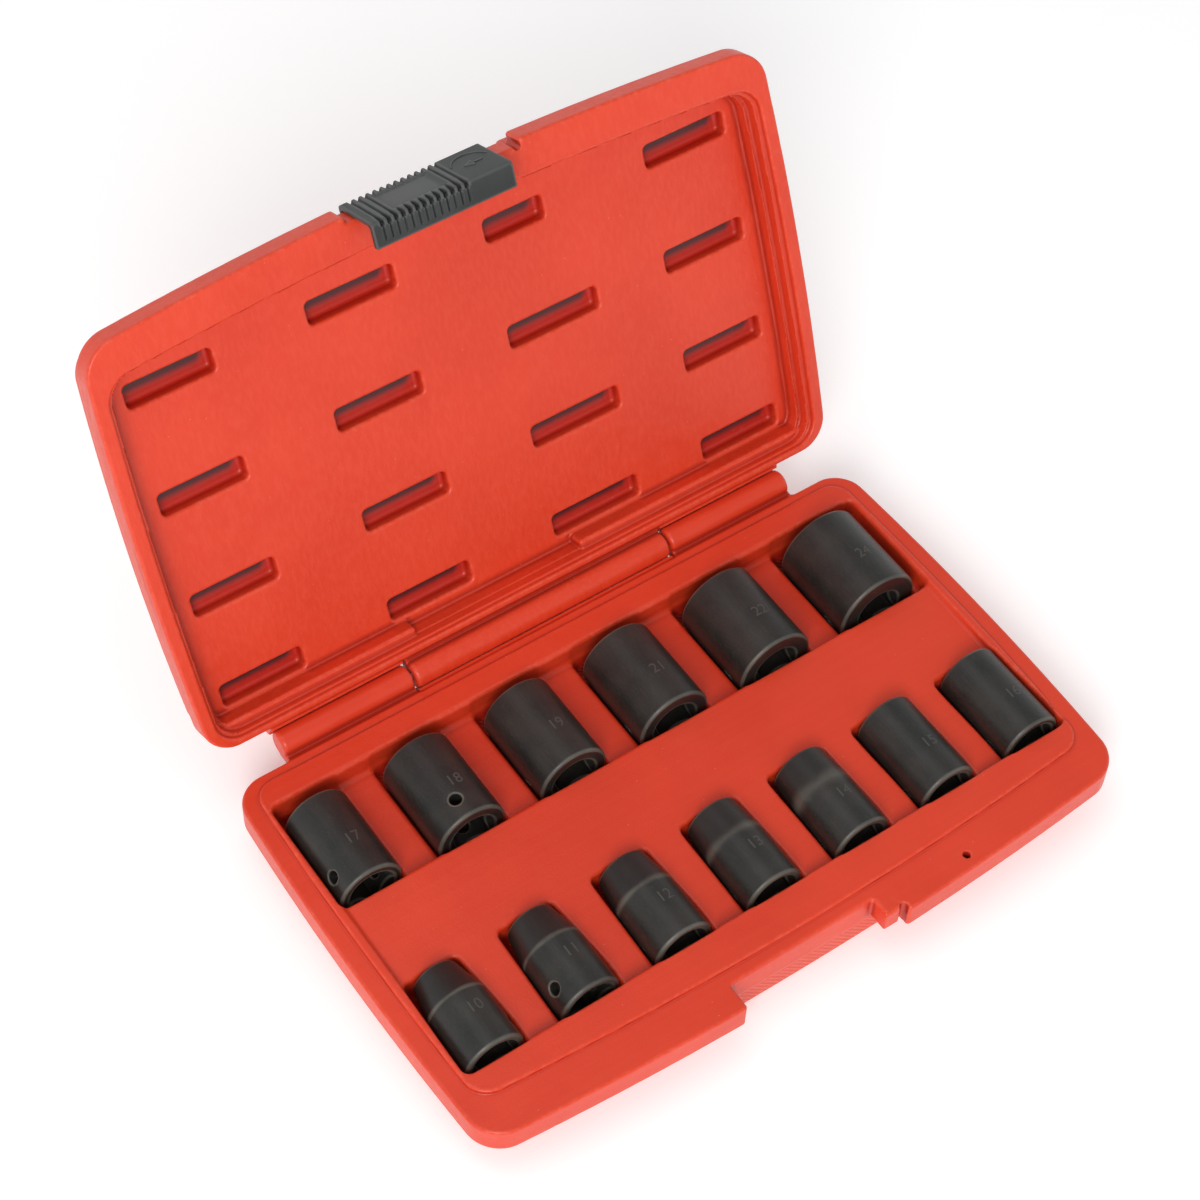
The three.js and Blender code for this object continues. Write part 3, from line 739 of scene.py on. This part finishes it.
class Nodes:
    """Adds shader nodes one after another."""

    def __init__(self, name):
        self.material = bpy.data.materials.new(name)
        self.material.use_nodes = True
        self.tree = self.material.node_tree
        self.shader = self.tree.nodes["Principled BSDF"]

    def add(self, kind, settings=None, **inputs):
        node = self.tree.nodes.new(kind)
        for key, value in (settings or {}).items():
            setattr(node, key, value)
        for key, value in inputs.items():
            self.feed(node.inputs[key.replace("_", " ")], value)
        return node

    def feed(self, socket, value):
        if isinstance(value, bpy.types.NodeSocket):
            self.tree.links.new(value, socket)
        else:
            socket.default_value = value

    def place(self, scale=(1, 1, 1), turn=(0, 0, 0)):
        """Object coordinates, stretched and turned."""
        coordinates = self.add("ShaderNodeTexCoord").outputs["Object"]
        mapping = self.add("ShaderNodeMapping", Vector=coordinates, Scale=scale, Rotation=turn)
        return mapping.outputs["Vector"]

    def noise(self, scale, detail=3.0, vector=None, roughness=0.5):
        vector = vector or self.place()
        node = self.add("ShaderNodeTexNoise", Vector=vector, Scale=scale, Detail=detail,
                        Roughness=roughness)
        return node.outputs["Fac"]

    def spread(self, value, low, high, to_low=0.0, to_high=1.0):
        node = self.add("ShaderNodeMapRange", {"interpolation_type": "SMOOTHSTEP"}, Value=value)
        self.feed(node.inputs["From Min"], low)
        self.feed(node.inputs["From Max"], high)
        self.feed(node.inputs["To Min"], to_low)
        self.feed(node.inputs["To Max"], to_high)
        return node.outputs["Result"]

    def math(self, operation, a, b):
        node = self.add("ShaderNodeMath", {"operation": operation})
        self.feed(node.inputs[0], a)
        self.feed(node.inputs[1], b)
        return node.outputs[0]

    def mix(self, amount, a, b):
        node = self.add("ShaderNodeMix", {"data_type": "RGBA"})
        self.feed(node.inputs["Factor"], amount)
        colours = [s for s in node.inputs if s.type == "RGBA"]
        self.feed(colours[0], a)
        self.feed(colours[1], b)
        return [s for s in node.outputs if s.type == "RGBA"][0]

    def bump(self, height, strength, distance, normal=None):
        node = self.add("ShaderNodeBump", Height=height, Strength=strength, Distance=distance)
        if normal is not None:
            self.feed(node.inputs["Normal"], normal)
        return node.outputs["Normal"]

    def stored(self, name):
        return self.add("ShaderNodeAttribute", {"attribute_name": name}).outputs["Fac"]

    def finish(self, colour, roughness, normal, **fixed):
        self.feed(self.shader.inputs["Base Color"], colour)
        self.feed(self.shader.inputs["Roughness"], roughness)
        self.feed(self.shader.inputs["Normal"], normal)
        for key, value in fixed.items():
            self.shader.inputs[key.replace("_", " ")].default_value = value
        return self.material


def case_plastic(name, streak_axis, ribbed=False):
    """Red blow-moulded polyethylene: soft mottling, flow streaks, paler edges that are partly worn
    and partly painted highlight, painted shade in corners, pockets and slots, specks.

    ribbed adds the fine slanting ribs of the base's lower wall.
    """
    make = Nodes(name)
    stretch = [620.0, 620.0, 620.0]
    stretch[streak_axis] = 14.0
    streaks = make.noise(1.0, 4.0, make.place(stretch))
    mottle = make.noise(18.0, 3.0)
    colour = make.mix(make.spread(mottle, 0.3, 0.7), RED["deep"], RED["bright"])
    streaked = make.spread(streaks, 0.35, 0.75, 0.0, 0.07 if ribbed else 0.22)
    colour = make.mix(streaked, colour, RED["streak"])
    edge = make.stored("edge")
    patchy = make.noise(420.0, 6.0, roughness=0.75)
    # paler edges: partly scuffed wear, partly painted highlight
    scuff_and_highlight = make.math("MULTIPLY", make.spread(edge, 0.2, 0.75), make.spread(patchy, 0.4, 0.75))
    colour = make.mix(make.math("MULTIPLY", scuff_and_highlight, 0.22), colour, RED["scuff_and_highlight"])
    # painted shade in inside corners and creases
    colour = make.mix(make.spread(edge, -0.1, -0.8, 0.0, 0.25), colour, RED["corner"])
    # painted shade where little open space lies over a place
    closed_in_shade = make.spread(make.stored("open"), 0.80, 0.2)
    colour = make.mix(make.math("MULTIPLY", closed_in_shade, 0.5), colour, RED["closed_in_shade"])
    # painted shade in pockets and slots, darker with depth
    recess_shade_and_nose = make.stored("recess_shade_and_nose")
    colour = make.mix(make.spread(recess_shade_and_nose, 0.02, 0.30, 0.0, 0.75), colour, RED["recess_shade_and_nose"])
    colour = make.mix(make.spread(recess_shade_and_nose, 0.30, 0.95, 0.0, 0.95), colour, RED["deepest_shade"])
    specks = make.add("ShaderNodeTexVoronoi", Vector=make.place(), Scale=170.0).outputs["Distance"]
    colour = make.mix(make.spread(specks, 0.05, 0.02, 0.0, 0.5), colour, RED["speck"])
    grain = make.noise(1500.0, 2.0)
    wave = make.noise(60.0, 2.0)
    normal = make.bump(grain, 0.16, 0.0004)
    normal = make.bump(streaks, 0.05 if ribbed else 0.14, 0.0008, normal)
    normal = make.bump(wave, 0.12, 0.003, normal)
    if ribbed:
        where = make.add("ShaderNodeSeparateXYZ", Vector=make.place()).outputs["Z"]
        bands = make.add("ShaderNodeTexWave", {"bands_direction": "DIAGONAL"}, Vector=make.place(),
                         Scale=RIB_SCALE)
        ribs = make.math("MULTIPLY", bands.outputs["Fac"], make.spread(where, *RIB_TOP))
        normal = make.bump(ribs, 0.8, 0.0003, normal)
        colour = make.mix(make.math("MULTIPLY", ribs, 0.25), colour, RED["rib"])
    roughness = make.spread(patchy, 0.2, 0.8, 0.30, 0.44)
    return make.finish(colour, roughness, normal, Specular_IOR_Level=0.42)


def socket_steel():
    """Black oxide on forged steel: nearly black, satin, browner and brighter on edges, partly from
    wear and partly a painted highlight.
    """
    make = Nodes("black oxide steel")
    cloud = make.noise(70.0, 4.0)
    fine = make.noise(1100.0, 5.0, roughness=0.7)
    grain = make.noise(1.0, 3.0, make.place((1500.0, 160.0, 1500.0)))
    colour = make.mix(make.spread(cloud, 0.3, 0.7), OXIDE["dark"], OXIDE["brown"])
    colour = make.mix(make.spread(fine, 0.5, 0.8, 0.0, 0.5), colour, OXIDE["fleck"])
    colour = make.mix(make.spread(grain, 0.5, 0.8, 0.0, 0.3), colour, OXIDE["grain"])
    colour = make.mix(make.math("MULTIPLY", make.stored("recess_shade_and_nose"), 0.6), colour, OXIDE["nose"])
    edge = make.stored("edge")
    # brighter edges: partly wear, partly painted highlight
    rub_and_highlight = make.math("MULTIPLY", make.spread(edge, 0.32, 0.75), make.spread(cloud, 0.2, 0.7, 0.4))
    colour = make.mix(make.math("MULTIPLY", rub_and_highlight, 0.5), colour, OXIDE["rubbed_and_highlight"])
    normal = make.bump(fine, 0.3, 0.0002)
    normal = make.bump(grain, 0.15, 0.0001, normal)
    roughness = make.spread(fine, 0.25, 0.75, 0.34, 0.50)
    return make.finish(colour, roughness, normal, Specular_IOR_Level=0.5)


def latch_plastic():
    """Dark grey moulded plastic with a fine spark-eroded grain, a painted highlight on its edges and
    painted shade in its inside corners and grooves.
    """
    make = Nodes("latch plastic")
    cloud = make.noise(90.0, 3.0)
    colour = make.mix(make.spread(cloud, 0.3, 0.7), GREY["dark"], GREY["light"])
    edge = make.stored("edge")
    # painted highlight on outside edges
    colour = make.mix(make.spread(edge, 0.2, 0.9, 0.0, 0.35), colour, GREY["edge"])
    # painted shade in inside corners
    colour = make.mix(make.spread(edge, -0.1, -0.7, 0.0, 0.7), colour, GREY["corner"])
    # painted shade in the grooves
    recess_shade_and_nose = make.spread(make.stored("recess_shade_and_nose"), 0.12, 0.55, 0.0, 0.92)
    colour = make.mix(recess_shade_and_nose, colour, GREY["groove"])
    grain = make.noise(2600.0, 2.0)
    normal = make.bump(grain, 0.25, 0.0002)
    roughness = make.spread(cloud, 0.2, 0.8, 0.40, 0.52)
    return make.finish(colour, roughness, normal)


def pin_steel():
    """Drawn steel wire with lengthwise scratches."""
    make = Nodes("pin steel")
    lines = make.noise(1.0, 3.0, make.place((60.0, 2400.0, 2400.0)))
    colour = make.mix(lines, (0.42, 0.42, 0.43, 1), (0.62, 0.62, 0.63, 1))
    normal = make.bump(lines, 0.2, 0.0002)
    return make.finish(colour, make.spread(lines, 0.2, 0.8, 0.25, 0.42), normal, Metallic=1.0)


def marking_paint():
    """Pale etched size numerals."""
    make = Nodes("etched marking")
    worn = make.noise(1600.0, 3.0)
    colour = make.mix(worn, (0.035, 0.034, 0.030, 1), (0.085, 0.080, 0.070, 1))
    return make.finish(colour, make.spread(worn, 0.3, 0.7, 0.5, 0.7), make.bump(worn, 0.2, 0.0002))


def floor_paint():
    """Plain pale studio floor."""
    make = Nodes("studio floor")
    cloud = make.noise(3.0, 2.0)
    colour = make.mix(cloud, (0.93, 0.93, 0.93, 1), (0.95, 0.95, 0.95, 1))
    normal = make.bump(cloud, 0.02, 0.001)
    make.shader.inputs["Emission Color"].default_value = (1, 1, 1, 1)
    return make.finish(colour, make.spread(cloud, 0.3, 0.7, 0.7, 0.8), normal, Emission_Strength=0.2)


# ---------------------------------------------------------------- pieces on their bodies

CASE_PITCH = 0.72  # spacing of the grid that each mesh is made on
LATCH_PITCH = 0.26
SOCKET_PITCH = 0.55
CASE_REACH = ((-138, -85.5), (138, 98.3))  # the case in plan, with its hinge
BASE_HEIGHTS = (0, 29.3)
LID_HEIGHTS = (18, 44.2)
NUMERAL_TALL = 6.2
NUMERAL_THICK = 0.1  # half its thickness
NUMERAL_SINK = 0.04  # how far its middle lies under the socket's wall
NUMERAL_STEP = 0.7  # its edges are split down to about this length
NUMERAL_ANGLE = math.radians(10)  # from straight up towards +X
NUMERAL_Y = 15.5


def fit_out(piece, node, body, material):
    piece.data.materials.clear()
    piece.data.materials.append(material)
    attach(piece, body)
    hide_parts(node)


def swing_open():
    """From the shut lid's place to the open one."""
    there = Matrix.Translation(LID_PIVOT * MM)
    return there @ Matrix.Rotation(-LID_OPEN, 4, "X") @ there.inverted()


def build_case():
    low, high = ((*corner, z) for corner, z in zip(CASE_REACH, BASE_HEIGHTS))
    base = make_piece("base_shell", base_field, low, high, CASE_PITCH, pocket_depth)
    red = case_plastic("red polyethylene base", 0, ribbed=True)
    fit_out(base, "case_base", "base", red)
    low, high = ((*corner, z) for corner, z in zip(CASE_REACH, LID_HEIGHTS))
    lid = make_piece("lid_shell", lid_field, low, high, CASE_PITCH, slot_depth)
    lid.data.transform(swing_open())
    fit_out(lid, "case_lid", "lid", case_plastic("red polyethylene lid", 2))


def build_latch():
    low = (LATCH["left"], LATCH["front"], SEAM - LATCH["high"])
    high = (LATCH["right"], LATCH["tip"], SEAM + LATCH["high"])
    piece = make_piece("latch_slide_grip", latch_field, low, high, LATCH_PITCH, groove_depth)
    piece.data.transform(swing_open())
    fit_out(piece, "latch", "latch", latch_plastic())


def build_sockets():
    steel = socket_steel()
    paint = marking_paint()
    for item in SOCKETS:
        radius = item["outer"] / 2
        name = f"socket_{item['size']}mm"
        spot = Vector((item["x"], item["face"], SOCKET_AXIS)) * MM
        place = Matrix.Translation(spot) @ Matrix.Rotation(-item["turn"], 4, "Y")
        low = (-radius, 0, -radius)
        high = (radius, SOCKET_LENGTH, radius)
        piece = make_piece(name + "_steel", socket_field_of(item), low, high, SOCKET_PITCH,
                           nose_of(item))
        piece.data.transform(place)
        fit_out(piece, name, f"socket_{item['size']}", steel)
        digits = bpy.data.objects.new(name + "_numeral", numeral(item))
        bpy.context.scene.collection.objects.link(digits)
        digits.data.materials.append(paint)
        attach(digits, f"socket_{item['size']}")


def numeral(item):
    """The size as a thin solid that lies round the socket's wall, a little proud of it."""
    text = bpy.data.curves.new("numeral", "FONT")
    text.body = str(item["size"])
    text.size = NUMERAL_TALL
    text.extrude = NUMERAL_THICK
    text.align_x = "CENTER"
    text.align_y = "CENTER"
    holder = bpy.data.objects.new("numeral", text)
    bpy.context.scene.collection.objects.link(holder)
    graph = bpy.context.evaluated_depsgraph_get()
    mesh = bpy.data.meshes.new_from_object(holder.evaluated_get(graph))
    bpy.data.objects.remove(holder)
    made = bmesh.new()
    made.from_mesh(mesh)
    bmesh.ops.remove_doubles(made, verts=made.verts, dist=0.001)
    bmesh.ops.triangulate(made, faces=made.faces)
    for _ in range(3):
        long = [e for e in made.edges if e.calc_length() > NUMERAL_STEP]
        bmesh.ops.subdivide_edges(made, edges=long, cuts=1)
        bmesh.ops.triangulate(made, faces=made.faces)
    radius = item["outer"] / 2
    for vertex in made.verts:
        angle = NUMERAL_ANGLE + vertex.co.x / radius
        out = radius - NUMERAL_SINK + vertex.co.z
        vertex.co = Vector((math.sin(angle) * out, NUMERAL_Y + vertex.co.y, math.cos(angle) * out))
    made.to_mesh(mesh)
    made.free()
    spot = Vector((item["x"], item["face"], SOCKET_AXIS)) * MM
    mesh.transform(Matrix.Translation(spot) @ Matrix.Scale(MM, 4))
    return mesh


def build_pins():
    steel = pin_steel()
    for side in ("left", "right"):
        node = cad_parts["hinge_pin_" + side]
        node.data.materials.clear()
        node.data.materials.append(steel)


# ---------------------------------------------------------------- stage, light and camera

FLOOR_SIZE = 8
HORIZON = dict(height=0.1, strength=0.95)
ZENITH = dict(height=0.9, strength=0.42)
CAMERA_PLACE = (-0.3671, -0.4328, 0.8631)
CAMERA_AZIMUTH = math.radians(36.91)  # from +Y towards +X
CAMERA_DROP = math.radians(52.40)
CAMERA_ROLL = math.radians(2.85)
CAMERA_LENS = 85.85


def build_stage():
    bpy.ops.mesh.primitive_plane_add(size=FLOOR_SIZE, location=(0, 0, 0))
    floor = bpy.context.object
    floor.name = "studio_floor"
    floor.data.materials.append(floor_paint())


def add_light(name, place, size, power, target=(0, 0, 0.05)):
    light = bpy.data.lights.new(name, "AREA")
    light.shape = "DISK"
    light.size = size
    light.energy = power
    lamp = bpy.data.objects.new(name, light)
    lamp.location = place
    aim = Vector(target) - Vector(place)
    lamp.rotation_euler = aim.to_track_quat("-Z", "Y").to_euler()
    bpy.context.scene.collection.objects.link(lamp)


def build_light():
    add_light("overhead", place=(-0.2, 0.3, 1.5), size=1.0, power=3)
    add_light("key", place=(-1.0, -1.1, 1.15), size=0.8, power=18.5)
    world = bpy.data.worlds.new("studio")
    world.use_nodes = True
    background = world.node_tree.nodes["Background"]
    background.inputs["Color"].default_value = (1, 1, 1, 1)
    tree = world.node_tree
    direction = tree.nodes.new("ShaderNodeTexCoord").outputs["Generated"]
    height = tree.nodes.new("ShaderNodeSeparateXYZ")
    tree.links.new(direction, height.inputs["Vector"])
    strength = tree.nodes.new("ShaderNodeMapRange")
    tree.links.new(height.outputs["Z"], strength.inputs["Value"])
    strength.inputs["From Min"].default_value = HORIZON["height"]
    strength.inputs["From Max"].default_value = ZENITH["height"]
    strength.inputs["To Min"].default_value = HORIZON["strength"]
    strength.inputs["To Max"].default_value = ZENITH["strength"]
    tree.links.new(strength.outputs["Result"], background.inputs["Strength"])
    scene = bpy.context.scene
    scene.world = world
    scene.view_settings.view_transform = "Standard"
    scene.view_settings.look = "None"


def build_camera():
    level = Vector((math.cos(CAMERA_AZIMUTH), -math.sin(CAMERA_AZIMUTH), 0))
    ahead = Vector((
        math.sin(CAMERA_AZIMUTH) * math.cos(CAMERA_DROP),
        math.cos(CAMERA_AZIMUTH) * math.cos(CAMERA_DROP),
        -math.sin(CAMERA_DROP),
    ))
    above = level.cross(ahead)
    right = math.cos(CAMERA_ROLL) * level + math.sin(CAMERA_ROLL) * above
    up = right.cross(ahead)
    camera = bpy.data.cameras.new("camera")
    camera.sensor_width = 36
    camera.lens = CAMERA_LENS
    viewer = bpy.data.objects.new("camera", camera)
    turn = Matrix((right, up, -ahead)).transposed().to_4x4()
    viewer.matrix_world = Matrix.Translation(CAMERA_PLACE) @ turn
    bpy.context.scene.collection.objects.link(viewer)
    bpy.context.scene.camera = viewer


build_case()
build_latch()
build_sockets()
build_pins()
build_stage()
build_light()
build_camera()
